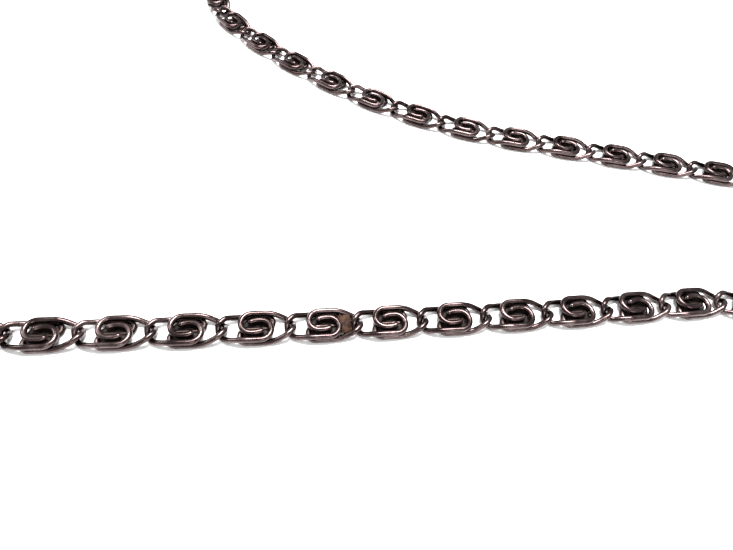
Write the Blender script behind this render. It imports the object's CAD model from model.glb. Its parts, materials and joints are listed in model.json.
# %% [markdown]
# # A dark scroll-link necklace
# The object is a chain of fifty links, each bent from one piece of round wire, with a
# lobster clasp on a jump ring at one end and a plain ring at the other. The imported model
# already holds where every link lies and how it turns on its neighbour. This lesson gives
# the pieces their looks: the wire as a smooth swept tube, the clasp as a softly cast
# metal part, and the black-nickel plating that both share.

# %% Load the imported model
import json
import math

import bpy
import numpy
from mathutils import Matrix, Vector

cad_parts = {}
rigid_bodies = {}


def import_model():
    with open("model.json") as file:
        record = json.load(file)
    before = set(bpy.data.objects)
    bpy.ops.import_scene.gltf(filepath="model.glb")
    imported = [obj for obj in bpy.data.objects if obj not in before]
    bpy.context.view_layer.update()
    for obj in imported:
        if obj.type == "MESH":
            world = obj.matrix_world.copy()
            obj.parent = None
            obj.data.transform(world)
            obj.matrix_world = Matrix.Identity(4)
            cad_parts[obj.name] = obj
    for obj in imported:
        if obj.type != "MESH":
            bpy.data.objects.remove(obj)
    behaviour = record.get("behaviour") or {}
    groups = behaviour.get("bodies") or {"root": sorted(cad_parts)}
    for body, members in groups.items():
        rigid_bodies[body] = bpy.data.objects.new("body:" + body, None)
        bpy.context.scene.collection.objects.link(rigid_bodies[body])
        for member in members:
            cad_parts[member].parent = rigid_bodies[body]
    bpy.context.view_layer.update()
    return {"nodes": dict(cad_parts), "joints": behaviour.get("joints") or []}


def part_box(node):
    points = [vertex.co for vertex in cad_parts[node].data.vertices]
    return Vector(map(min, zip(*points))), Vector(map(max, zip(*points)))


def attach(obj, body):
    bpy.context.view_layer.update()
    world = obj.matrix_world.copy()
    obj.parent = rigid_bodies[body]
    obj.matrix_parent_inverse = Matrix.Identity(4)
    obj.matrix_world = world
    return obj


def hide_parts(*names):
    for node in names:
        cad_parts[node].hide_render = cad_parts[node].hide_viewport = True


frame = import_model()
MM = 0.001

# %% [markdown]
# ## Where the links lie
# Nothing has to be measured again. Every junction between two links is a hinge in the
# model, and it lies on both links' centre lines. The line through a link's two
# junctions gives its heading, and the distance between neighbouring junctions is the
# chain's pitch.

# %% Find each link's middle and heading
LINK_COUNT = sum(name.startswith("link_") for name in frame["nodes"])
links = [f"link_{number:02d}" for number in range(1, LINK_COUNT + 1)]
hinge_between = {frozenset((j["parent"], j["child"])): Vector(j["pos_m"]) for j in frame["joints"]}
path_bodies = ["jump_ring"] + links + ["end_ring"]
junctions = [hinge_between[frozenset(pair)] for pair in zip(path_bodies, path_bodies[1:])]
PITCH = (junctions[2] - junctions[1]).length


def heading_of(index):
    """Direction of link number index along the chain, in radians."""
    line = junctions[index + 1] - junctions[index]
    return math.atan2(line.y, line.x)


def middle_of(index):
    """Point on the surface under the middle of link number index."""
    line = (junctions[index + 1] - junctions[index]).normalized()
    if index == LINK_COUNT - 1:
        point = junctions[index] + line * (PITCH / 2)
    else:
        point = junctions[index + 1] - line * (PITCH / 2)
    return Vector((point.x, point.y, 0))


print(LINK_COUNT, "links, pitch", round(PITCH / MM, 3), "mm")

# %% [markdown]
# ## The camera
# The chain is small, so the camera is close: about seven pitches above the surface,
# looking down at a little over fifty degrees and tipped sideways by a few degrees. It is
# placed from the fifth link, which stands at the left edge of the view.

# %% Place the camera
SENSOR = 36.0
FOCAL_IN_WIDTHS = 0.7503        # focal length as a share of the picture's width
LOOK_DOWN = math.radians(55.305)
TIP = math.radians(7.795)
CAMERA_HEIGHT = 7.142 * PITCH + 1.6 * MM
LEFT_LINK = 4                   # the fifth link
LEFT_LINK_FROM_CAMERA = Vector((-4.45, 3.228, 0)) * PITCH


def shown(name, data):
    """A new object in the scene that holds a mesh, a camera or a light."""
    thing = bpy.data.objects.new(name, data)
    bpy.context.scene.collection.objects.link(thing)
    return thing


right = Vector((1, 0, 0))
forward = Vector((0, math.cos(LOOK_DOWN), -math.sin(LOOK_DOWN)))
down = Vector((0, -math.sin(LOOK_DOWN), -math.cos(LOOK_DOWN)))
picture_right = right * math.cos(TIP) - down * math.sin(TIP)
picture_down = right * math.sin(TIP) + down * math.cos(TIP)

camera_data = bpy.data.cameras.new("camera")
camera_data.sensor_width = SENSOR
camera_data.lens = FOCAL_IN_WIDTHS * SENSOR
camera_data.clip_start = 0.005
camera = shown("camera", camera_data)
axes = Matrix((picture_right, -picture_down, -forward)).transposed()
camera.matrix_world = axes.to_4x4()
camera.location = middle_of(LEFT_LINK) - LEFT_LINK_FROM_CAMERA + Vector((0, 0, CAMERA_HEIGHT))
bpy.context.scene.camera = camera
print("camera at", [round(v / MM, 1) for v in camera.location], "mm")

# %% [markdown]
# ## Writing node trees as expressions
# A node tree is a graph of sums, products and noises. A small class keeps one output
# socket and gives it the operators + - * /, so that a formula in the script reads like
# a formula, and its Math nodes appear on their own.


# %% A socket that can be used in formulas
class Socket:
    """An output socket of a node tree, with arithmetic."""

    def __init__(self, socket):
        self.socket = socket
        self.node = socket.node
        self.tree = socket.id_data

    def calculate(self, operation, *values):
        return add_node(self.tree, "ShaderNodeMath", {"operation": operation}, *values)

    def __add__(self, other):
        return self.calculate("ADD", self, other)

    def __radd__(self, other):
        return self.calculate("ADD", other, self)

    def __sub__(self, other):
        return self.calculate("SUBTRACT", self, other)

    def __rsub__(self, other):
        return self.calculate("SUBTRACT", other, self)

    def __mul__(self, other):
        return self.calculate("MULTIPLY", self, other)

    def __rmul__(self, other):
        return self.calculate("MULTIPLY", other, self)

    def __truediv__(self, other):
        return self.calculate("DIVIDE", self, other)


def output_of(node, name=None):
    """The node's named output, or its first visible one."""
    return Socket(next(s for s in node.outputs if s.enabled and name in (None, s.name)))


def feed(tree, value, socket):
    """Links a Socket to an input, or writes a plain value into it."""
    if isinstance(value, Socket):
        tree.links.new(value.socket, socket)
    else:
        socket.default_value = value


def add_node(tree, kind, settings, *values, **named):
    """A new node: its settings first, then values or links for its inputs, by place or by name.
    Returns its first visible output."""
    node = tree.nodes.new(kind)
    for key, value in settings.items():
        setattr(node, key, value)
    visible = [socket for socket in node.inputs if socket.enabled]
    for socket, value in zip(visible, values):
        feed(tree, value, socket)
    for name, value in named.items():
        label = name.rstrip("_").replace("_", " ")
        feed(tree, value, next(s for s in visible if s.name == label))
    return output_of(node)


# %% [markdown]
# ## Black-nickel plating
# Gunmetal jewellery is brass under a thin black-nickel plate. It is a true metal, so all
# of its colour is in its reflections: a dark brown-violet grey that goes almost black
# between the wires and nearly white where it meets a light. Three things keep it from
# looking like a computer's perfect metal: a slow drift of tone from one stretch of wire
# to the next, fine marks and dents in its surface, and grime, which darkens and dulls it
# deep inside a link. How deep a point lies is stored on the mesh as "crevice".


# %% Helpers for materials
def new_material(name):
    """An empty node material with a Principled shader; returns (material, tree, shader)."""
    material = bpy.data.materials.new(name)
    material.use_nodes = True
    tree = material.node_tree
    shader = next(n for n in tree.nodes if n.type == "BSDF_PRINCIPLED")
    return material, tree, shader


def noise(tree, scale, detail=2.0, roughness=0.5):
    """Fractal noise over the piece's own coordinates, in patches of about 1/scale metres."""
    coordinates = output_of(tree.nodes.new("ShaderNodeTexCoord"), "Object")
    return add_node(tree, "ShaderNodeTexNoise", {}, Vector=coordinates, Scale=scale,
                    Detail=detail, Roughness=roughness)


def mixed(tree, factor, first, second):
    """A colour between two others, each a Socket or a plain (r, g, b, 1)."""
    node = tree.nodes.new("ShaderNodeMix")
    node.data_type = "RGBA"
    for place, value in ((0, factor), (6, first), (7, second)):
        feed(tree, value, node.inputs[place])
    return Socket(node.outputs[2])


def smooth_step(tree, value, start, end):
    """0 below start, 1 above end, smooth between."""
    return add_node(tree, "ShaderNodeMapRange", {"interpolation_type": "SMOOTHSTEP"},
                    value, start, end, 0.0, 1.0)


def stored_value(tree, name):
    """A value stored on the mesh under a name; 0 where there is none."""
    node = tree.nodes.new("ShaderNodeAttribute")
    node.attribute_name = name
    return output_of(node, "Fac")


# %% Mix the plating of links, rings and clasp
DRIFT, STAIN, GRAIN = 260.0, 1100.0, 5200.0     # patches of about 4, 1 and 0.2 mm
GRIMED = (0.02, 0.014, 0.012, 1)


def plated(name, dark, light, smooth=0.14, rough=0.25, dents=0.35):
    """Black-nickel plate: dark and light are the ends of its drift of tone."""
    material, tree, shader = new_material(name)
    drift = noise(tree, DRIFT, detail=3.0)
    stain = noise(tree, STAIN, detail=4.0, roughness=0.6)
    grain = noise(tree, GRAIN, detail=3.0, roughness=0.6)
    tone = smooth_step(tree, drift * 0.65 + stain * 0.35, 0.38, 0.64)
    dirty = smooth_step(tree, stain + stored_value(tree, "crevice") * 0.4, 0.54, 0.74)
    colour = mixed(tree, dirty * 0.8, mixed(tree, tone, (*dark, 1), (*light, 1)), GRIMED)
    feed(tree, colour, shader.inputs["Base Color"])
    roughness = smooth + (rough - smooth) * tone + dirty * 0.2 + grain * 0.04
    feed(tree, roughness, shader.inputs["Roughness"])
    bump = add_node(tree, "ShaderNodeBump", {}, Strength=dents, Distance=0.02 * MM,
                    Height=stain * 0.7 + grain * 0.3)
    feed(tree, bump, shader.inputs["Normal"])
    shader.inputs["Metallic"].default_value = 1.0
    return material


gunmetal = plated("gunmetal_wire", (0.040, 0.027, 0.026), (0.095, 0.070, 0.069))
ring_metal = plated("gunmetal_ring", (0.045, 0.032, 0.031), (0.095, 0.072, 0.072), smooth=0.13)
clasp_metal = plated("gunmetal_clasp", (0.042, 0.031, 0.030), (0.085, 0.066, 0.066),
                     smooth=0.2, dents=0.5)
print("plating ready:", gunmetal.name, ring_metal.name, clasp_metal.name)

# %% [markdown]
# ## Bare steel
# The clasp's pin and its spring aren't plated. They are steel, a little dull from being
# turned and rolled, so their only texture is in how rough they are.


# %% Mix the steel
def steel(name, colour, roughness):
    """Bare steel with turning marks in its roughness."""
    material, tree, shader = new_material(name)
    marks = noise(tree, 6000.0)
    shader.inputs["Base Color"].default_value = (*colour, 1)
    shader.inputs["Metallic"].default_value = 1.0
    feed(tree, marks * 0.25 + (roughness - 0.12), shader.inputs["Roughness"])
    return material


pin_steel = steel("pin_steel", (0.16, 0.145, 0.14), 0.34)
spring_steel = steel("spring_steel", (0.22, 0.21, 0.2), 0.3)
print("steel ready:", pin_steel.name, spring_steel.name)

# %% [markdown]
# ## Grime and crust
# A worn chain holds dirt. A dark, speckled grime packs the inside of every scroll, so no
# light comes up through it, and one link of the front strand has a brown crust across
# its opening. These two are the only surfaces of the necklace that are not metal, and
# dried dirt hardly shines, so its specular level is far below the usual one.


# %% Mix the grime and the crust
def dirt(name, dark, light, dull):
    """Dried dirt: patchy between two colours, with a crumbly surface."""
    material, tree, shader = new_material(name)
    patch = noise(tree, 1500.0, detail=5.0, roughness=0.65)
    crumbs = noise(tree, 4500.0, detail=3.0, roughness=0.7)
    speckle = smooth_step(tree, patch * 0.6 + crumbs * 0.4, 0.4, 0.6)
    feed(tree, mixed(tree, speckle, (*dark, 1), (*light, 1)), shader.inputs["Base Color"])
    feed(tree, crumbs * 0.3 + dull, shader.inputs["Roughness"])
    shader.inputs["Specular IOR Level"].default_value = 0.12
    bump = add_node(tree, "ShaderNodeBump", {}, Strength=0.9, Distance=0.08 * MM,
                    Height=patch * 0.5 + crumbs * 0.5)
    feed(tree, bump, shader.inputs["Normal"])
    return material


grime = dirt("scroll_grime", (0.003, 0.002, 0.0018), (0.02, 0.0135, 0.012), 0.35)
crust = dirt("brown_crust", (0.012, 0.005, 0.003), (0.055, 0.027, 0.015), 0.5)
print("dirt ready:", grime.name, crust.name)

# %% [markdown]
# ## One link as a bent wire
# A link is a single wire. Underneath it makes a flat S. Near each end one side of the
# loop climbs to the top layer, and on top the two ends curl into hooks that hold each
# other. A path like this is a short list of corners, each rounded by its own bending
# radius, just as a jig bends it. The second half is the first half turned by half a
# turn, so only one half is written down.

# %% Corners and bending radii of the wire
low_corner, high_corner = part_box(links[LINK_COUNT // 2])
WIRE = 0.75 * MM
LINK_WIDTH = 4.45 * MM
LAYER_RISE = high_corner[2] - low_corner[2] - WIRE
LOW = WIRE / 2
HIGH = LOW + LAYER_RISE
OUTER = (LINK_WIDTH - WIRE) / 2     # outer arms, from the chain's middle line
INNER = 0.86 * MM                   # inner arm of a hook
BOTTOM_TURN = OUTER / 2
TOP_TURN = (OUTER + INNER) / 2
BOTTOM_BIGHT = 2.05 * MM            # how far from the middle the bottom S turns back
TOP_BIGHT = 1.905 * MM              # and the hook on top
SHOULDER = 2.0 * MM                 # where the sides start to close in
NECK, NECK_SIDE = 3.85 * MM, 1.33 * MM                  # where the end loop begins
END, END_SIDE = PITCH / 2 + 0.42 * MM, 0.45 * MM        # how far the end loop reaches
HOOK_CURL = 0.2 * MM                # where a hook's inner arm starts to curl in
HOOK_END, HOOK_END_SIDE = 1.05 * MM, 0.5 * MM           # the cut tip of the wire
SHOULDER_BEND, NECK_BEND, END_BEND, CURL_BEND = 4.0 * MM, 1.2 * MM, 0.7 * MM, 2.0 * MM

half_corners = [
    # x, y, z of a corner, and the radius it is bent to (0 at a plain point)
    (-BOTTOM_BIGHT, 0, LOW, BOTTOM_TURN),
    (-BOTTOM_BIGHT, -OUTER, LOW, BOTTOM_TURN),
    (SHOULDER, -OUTER, LOW, SHOULDER_BEND),
    (NECK, -NECK_SIDE, HIGH, NECK_BEND),
    (END, -END_SIDE, HIGH, END_BEND),
    (END, END_SIDE, LOW, END_BEND),
    (NECK, NECK_SIDE, LOW, NECK_BEND),
    (SHOULDER, OUTER, HIGH, SHOULDER_BEND),
    (-TOP_BIGHT, OUTER, HIGH, TOP_TURN),
    (-TOP_BIGHT, -INNER, HIGH, TOP_TURN),
    (HOOK_CURL, -INNER, HIGH, CURL_BEND),
    (HOOK_END, -HOOK_END_SIDE, HIGH, 0),
]
other_half = [(-x, -y, z, radius) for x, y, z, radius in reversed(half_corners)]
link_corners = other_half + half_corners


def path_object(name, corners):
    """A chain of edges through the corners, with each corner's radius as an attribute."""
    mesh = bpy.data.meshes.new(name)
    points = [corner[:3] for corner in corners]
    mesh.from_pydata(points, [(i, i + 1) for i in range(len(points) - 1)], [])
    bend = mesh.attributes.new("bend", "FLOAT", "POINT")
    bend.data.foreach_set("value", [corner[3] for corner in corners])
    return shown(name, mesh)


print(len(link_corners), "corners make one link")

# %% [markdown]
# ## From corners to a hand-bent curve
# A Geometry Nodes tree does the jig's work, in three steps. The first turns the edges
# into a curve, rounds every corner to its radius and cuts the curve into even steps. A
# little noise, different in every link, keeps fifty links from being fifty copies:
# hand-finished wire is never quite straight.


# %% Nodes that round and wander the path
def vector_math(tree, operation, *values):
    return add_node(tree, "ShaderNodeVectorMath", {"operation": operation}, *values)


def scaled(tree, vector, factor):
    return add_node(tree, "ShaderNodeVectorMath", {"operation": "SCALE"}, Vector=vector, Scale=factor)


def rounded_path(tree, path, arc_steps, step):
    """The path as a curve with every corner rounded, in even steps."""
    curve = add_node(tree, "GeometryNodeMeshToCurve", {}, path)
    bend = add_node(tree, "GeometryNodeInputNamedAttribute", {"data_type": "FLOAT"}, "bend")
    curve = add_node(tree, "GeometryNodeFilletCurve", {"mode": "POLY"}, curve,
                     Count=arc_steps, Radius=bend, Limit_Radius=False)
    return add_node(tree, "GeometryNodeResampleCurve", {"mode": "LENGTH"}, curve, Length=step)


def wandering(tree, curve, seed, unevenness):
    """The curve, moved a little off its true line."""
    position = add_node(tree, "GeometryNodeInputPosition", {})
    drift = add_node(tree, "ShaderNodeTexNoise", {"noise_dimensions": "4D"},
                     Vector=position, W=seed, Scale=260.0, Detail=1.0)
    centred = vector_math(tree, "SUBTRACT", output_of(drift.node, "Color"), (0.5, 0.5, 0.5))
    return add_node(tree, "GeometryNodeSetPosition", {}, Geometry=curve,
                    Offset=scaled(tree, centred, unevenness))


# %% [markdown]
# ## From a curve to a wire
# The second step sweeps a round section along the curve. Wire is cut square and then
# tumbled, which rounds its tips, so the section shrinks over the last stretch at each
# end. The third step stores on each point how deep inside the link it lies, for the
# grime in the plating.


# %% Nodes that sweep the wire
def tumbled_tube(tree, curve, wire, tumbling, sides):
    """A round wire along the curve, with its cut tips rounded and closed."""
    length = add_node(tree, "GeometryNodeCurveLength", {}, curve)
    along = output_of(tree.nodes.new("GeometryNodeSplineParameter"), "Length")
    to_tip = add_node(tree, "ShaderNodeMath", {"operation": "MINIMUM"}, along, length - along)
    eased = 1.0 - (1.0 - smooth_step(tree, to_tip / wire, -0.25, 0.45)) * tumbling
    section = add_node(tree, "GeometryNodeCurvePrimitiveCircle", {}, Resolution=sides, Radius=wire / 2)
    return add_node(tree, "GeometryNodeCurveToMesh", {}, Curve=curve, Profile_Curve=section,
                    Scale=eased, Fill_Caps=True)


def with_crevice(tree, tube):
    """The tube with a stored "crevice": 1 low down in the middle of the link, 0 outside."""
    point = add_node(tree, "GeometryNodeInputPosition", {})
    height = output_of(add_node(tree, "ShaderNodeSeparateXYZ", {}, point).node, "Z")
    depth = 1.0 - smooth_step(tree, height, LOW, HIGH)
    flat = vector_math(tree, "MULTIPLY", point, (1 / (2.9 * MM), 1 / OUTER, 0))
    spread = output_of(vector_math(tree, "LENGTH", flat).node, "Value")
    inside = 1.0 - smooth_step(tree, spread, 0.7, 1.15)
    return add_node(tree, "GeometryNodeStoreNamedAttribute", {"data_type": "FLOAT", "domain": "POINT"},
                    tube, Name="crevice", Value=depth * inside)


# %% [markdown]
# ## A blob of dirt
# Grime and crust are the same shape at different sizes: a ball whose points a noise
# moves in and out, then flattened. It is closed, so it stays a solid thing that hides
# what is behind it.


# %% Nodes that make a blob
def blob(tree, size, centre, seed, finish, unevenness):
    """A closed, flattened, uneven ball of dirt."""
    ball = add_node(tree, "GeometryNodeMeshIcoSphere", {}, Radius=1.0, Subdivisions=5)
    place = add_node(tree, "GeometryNodeInputPosition", {})
    bumps = add_node(tree, "ShaderNodeTexNoise", {"noise_dimensions": "4D"},
                     Vector=place, W=seed, Scale=2.6, Detail=4.0)
    swell = scaled(tree, place, (bumps - 0.5) * unevenness + 0.85)
    ball = add_node(tree, "GeometryNodeSetPosition", {}, Geometry=ball, Position=swell)
    ball = add_node(tree, "GeometryNodeTransform", {}, Geometry=ball, Translation=centre, Scale=size)
    ball = add_node(tree, "GeometryNodeSetShadeSmooth", {}, ball)
    return add_node(tree, "GeometryNodeSetMaterial", {}, Geometry=ball, Material=finish)


# %% [markdown]
# ## The wire bender
# One tree holds all the steps. Its inputs are the wire's thickness, how fine and how
# uneven it is, its place and heading, and the grime inside it, if any. It sets the wire
# on its place last, so that every link is bent in the same coordinates.


# %% Build the wire bender
def geometry_tree(name, inputs):
    """An empty tree with named inputs; returns the tree, their identifiers and their sockets."""
    tree = bpy.data.node_groups.new(name, "GeometryNodeTree")
    tree.interface.new_socket("Geometry", in_out="OUTPUT", socket_type="NodeSocketGeometry")
    keys = {}
    for label, kind in inputs.items():
        socket = tree.interface.new_socket(label, in_out="INPUT", socket_type="NodeSocket" + kind)
        keys[label] = socket.identifier
    source = tree.nodes.new("NodeGroupInput")
    return tree, keys, {label: output_of(source, label) for label in inputs}


def set_down(tree, piece, place, turn):
    """Sets the piece on its place, as plain geometry, and makes it the tree's result."""
    piece = add_node(tree, "GeometryNodeTransform", {}, Geometry=piece, Translation=place, Rotation=turn)
    piece = add_node(tree, "GeometryNodeRealizeInstances", {}, piece)
    feed(tree, piece, tree.nodes.new("NodeGroupOutput").inputs[0])


def wire_bender(name, arc_steps, sides):
    """A tree that turns a corner path into a bent wire on its place; returns it and its keys."""
    tree, keys, given = geometry_tree(name, {
        "Path": "Geometry", "Wire": "Float", "Step": "Float", "Place": "Vector", "Turn": "Vector",
        "Seed": "Float", "Unevenness": "Float", "Tumbling": "Float", "Metal": "Material",
        "Filled": "Bool", "Fill_size": "Vector", "Fill_centre": "Vector", "Fill": "Material",
    })
    curve = rounded_path(tree, given["Path"], arc_steps, given["Step"])
    curve = wandering(tree, curve, given["Seed"], given["Unevenness"])
    tube = tumbled_tube(tree, curve, given["Wire"], given["Tumbling"], sides)
    tube = with_crevice(tree, tube)
    tube = add_node(tree, "GeometryNodeSetShadeSmooth", {}, tube)
    tube = add_node(tree, "GeometryNodeSetMaterial", {}, Geometry=tube, Material=given["Metal"])

    fill = blob(tree, given["Fill_size"], given["Fill_centre"], given["Seed"], given["Fill"], 0.35)
    fill = add_node(tree, "GeometryNodeSwitch", {"input_type": "GEOMETRY"}, Switch=given["Filled"],
                    True_=fill)
    both = tree.nodes.new("GeometryNodeJoinGeometry")
    for part in (fill, tube):
        feed(tree, part, both.inputs[0])
    set_down(tree, output_of(both), given["Place"], given["Turn"])
    return tree, keys


ARC_STEPS = 24
SIDES = 18
bender = wire_bender("wire_bender", ARC_STEPS, SIDES)
print("wire bender has", len(bender[0].nodes), "nodes")

# %% [markdown]
# ## Keeping the result
# A Geometry Nodes modifier stays live, and joints and exports want a plain mesh. So the
# tree runs once on a starting object with the inputs of one piece, its result is copied
# into a mesh of its own, and the modifier is taken off again.


# %% Run a tree and keep what it makes
def made(start, maker, name, **values):
    """Runs a maker's tree on a starting object and returns a plain mesh object."""
    tree, keys = maker
    modifier = start.modifiers.new("maker", "NODES")
    modifier.node_group = tree
    for label, value in values.items():
        modifier[keys[label]] = value
    graph = bpy.context.evaluated_depsgraph_get()
    mesh = bpy.data.meshes.new_from_object(start.evaluated_get(graph))
    mesh.name = name
    start.modifiers.remove(modifier)
    return shown(name, mesh)


# %% [markdown]
# ## Fifty links in their places
# The same path goes through the bender once for each link, with that link's own place,
# heading and seed. Each link rides on its own body, so it turns with its own hinge.

# %% Make the chain
SEED_STEP = 1.7                     # far enough apart for two links to differ
link_path = path_object("link_path", link_corners)
link_make = {
    "Wire": WIRE, "Step": 0.16 * MM, "Unevenness": 0.035 * MM, "Tumbling": 1.0, "Metal": gunmetal,
    "Filled": True, "Fill": grime,
    "Fill_size": (2.28 * MM, 2.05 * MM, 0.25 * MM), "Fill_centre": (0.0, 0.0, 0.42 * MM),
}
for index, node in enumerate(links):
    piece = made(link_path, bender, f"scroll_{node}", Place=middle_of(index),
                 Turn=(0.0, 0.0, heading_of(index)), Seed=index * SEED_STEP, **link_make)
    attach(piece, node)
    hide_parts(node)
bpy.data.objects.remove(link_path)
print("each link has", len(piece.data.polygons), "faces")

# %% [markdown]
# ## The crusted link
# One link has a crust in the opening at its right-hand end: a flat, crumbly blob that
# hangs between the scroll and the next link's loop. It is made by the same blob nodes as
# the grime, in a tree of their own that starts from an empty mesh.

# %% Lay the crust in its link
CRUSTED = 8                         # the ninth link
crust_tree, crust_keys, given = geometry_tree("crust_maker", {
    "Size": "Vector", "Centre": "Vector", "Seed": "Float", "Crust": "Material",
    "Place": "Vector", "Turn": "Vector",
})
crumbly = blob(crust_tree, given["Size"], given["Centre"], given["Seed"], given["Crust"], 0.8)
set_down(crust_tree, crumbly, given["Place"], given["Turn"])

nothing = shown("nothing", bpy.data.meshes.new("nothing"))
crust_piece = made(nothing, (crust_tree, crust_keys), "crust_link_09",
                   Size=(0.98 * MM, 1.75 * MM, 0.4 * MM), Centre=(2.62 * MM, 0.25 * MM, 0.72 * MM),
                   Seed=4.2, Crust=crust, Place=middle_of(CRUSTED),
                   Turn=(0.0, 0.0, heading_of(CRUSTED)))
bpy.data.objects.remove(nothing)
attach(crust_piece, links[CRUSTED])
print("the crust has", len(crust_piece.data.polygons), "faces")

# %% [markdown]
# ## The two rings
# A jump ring is wire wound round a rod and sawn through, so it is the same bender with a
# round path that stops just short of closing. The flat way of each ring is the direction
# in which its model varies least.

# %% Wind the rings
SAW_CUT = 0.05 * MM


def ring_corners(radius, steps=120):
    """Points round a circle that leaves the narrow saw cut open."""
    half_gap = SAW_CUT / radius / 2
    turns = [half_gap + (2 * math.pi - 2 * half_gap) * k / steps for k in range(steps + 1)]
    return [(radius * math.cos(a), radius * math.sin(a), 0, 0) for a in turns]


def lie_of(node):
    """Middle of a ring's model, and the direction square to the ring."""
    points = numpy.array([v.co for v in frame["nodes"][node].data.vertices])
    middle = (points.min(axis=0) + points.max(axis=0)) / 2
    least = numpy.linalg.eigh(numpy.cov((points - middle).T))[1][:, 0]
    return Vector(middle), Vector(least)


for node, body, radius, wire, name in (
    ("clasp_jump_ring", "jump_ring", 1.675 * MM, 0.65 * MM, "jump_ring_wire"),
    ("end_ring", "end_ring", 2.2 * MM, 0.75 * MM, "end_ring_wire"),
):
    middle, square = lie_of(node)
    turn = square.to_track_quat("Z", "X").to_euler()
    ring_path = path_object("ring_path", ring_corners(radius))
    piece = made(ring_path, bender, name, Wire=wire, Step=0.1 * MM, Place=middle, Turn=tuple(turn),
                 Seed=3.1, Unevenness=0.02 * MM, Tumbling=0.12, Metal=ring_metal)
    bpy.data.objects.remove(ring_path)
    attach(piece, body)
    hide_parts(node)
    print(name, "has", len(piece.data.polygons), "faces")

# %% [markdown]
# ## The cast clasp
# A small lobster clasp is cast, tumbled and plated, so none of its edges is sharp. Its
# model is rebuilt on a fine, even grid and then relaxed, which rounds every edge and
# fillets every inner corner by the same small amount. The pin and the spring are simple
# machined pieces, so their models only get their steel.


# %% Cast the clasp and its lever
def cast(node, body, name, grid, relaxing):
    """A tumbled copy of a model's solid, rebuilt on a grid and relaxed in so many rounds."""
    thing = shown(name, frame["nodes"][node].data.copy())
    weld = thing.modifiers.new("weld", "WELD")
    weld.merge_threshold = 0.001 * MM
    remesh = thing.modifiers.new("grid", "REMESH")
    remesh.mode = "VOXEL"
    remesh.voxel_size = grid
    remesh.use_smooth_shade = True
    relax = thing.modifiers.new("relax", "SMOOTH")
    relax.factor = 0.5
    relax.iterations = relaxing
    graph = bpy.context.evaluated_depsgraph_get()
    finished = bpy.data.meshes.new_from_object(thing.evaluated_get(graph))
    thing.modifiers.clear()
    thing.data = finished
    finished.materials.clear()
    finished.materials.append(clasp_metal)
    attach(thing, body)
    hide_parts(node)
    print(name, "has", len(finished.polygons), "faces")


cast("clasp_body", "clasp", "clasp_casting", grid=0.06 * MM, relaxing=6)
cast("clasp_lever", "lever", "clasp_thumb_lever", grid=0.04 * MM, relaxing=5)
for node, metal in (("clasp_rivet", pin_steel), ("clasp_spring", spring_steel)):
    frame["nodes"][node].data.materials.clear()
    frame["nodes"][node].data.materials.append(metal)

# %% [markdown]
# ## The floor
# The necklace lies on a plain white surface. It is far larger than the necklace, so that
# its edge is nowhere in view and the metal reflects white from below.

# %% Lay the floor
bpy.ops.mesh.primitive_plane_add(size=3.0, location=(0, 0, 0))
floor = bpy.context.object
floor.name = "floor"
floor_material, _, floor_shader = new_material("white_floor")
floor_shader.inputs["Base Color"].default_value = (0.93, 0.93, 0.93, 1)
floor_shader.inputs["Roughness"].default_value = 0.7
floor.data.materials.append(floor_material)
print("floor is", floor.dimensions.x, "m wide")

# %% [markdown]
# ## Soft light
# A metal shows what stands around it, so the lights do most of the drawing: one large
# soft panel above and behind gives the long pale streaks along the wires, a weak one on
# the left and one in front lift the rest, and the dimmer room between them makes the
# plating deep.


# %% Hang the lights
def panel(name, place, size, power):
    """A soft rectangular light, in metres and watts, aimed at the middle of the floor."""
    light = bpy.data.lights.new(name, "AREA")
    light.shape = "RECTANGLE"
    light.size, light.size_y = size
    light.energy = power
    thing = shown(name, light)
    thing.location = place
    thing.rotation_euler = (-Vector(place)).to_track_quat("-Z", "Y").to_euler()
    print(name, "gives", power, "W")


panel("top_panel", place=(0.0, 0.2, 0.8), size=(0.42, 0.3), power=24.0)
panel("left_panel", place=(-0.8, 0.1, 0.6), size=(0.3, 0.4), power=4.0)
panel("front_panel", place=(0.3, -0.75, 0.55), size=(0.4, 0.2), power=3.0)

world = bpy.data.worlds.new("room")
world.use_nodes = True
world.node_tree.nodes["Background"].inputs["Color"].default_value = (1.0, 0.99, 0.985, 1)
world.node_tree.nodes["Background"].inputs["Strength"].default_value = 0.8
bpy.context.scene.world = world
bpy.context.scene.view_settings.view_transform = "Standard"
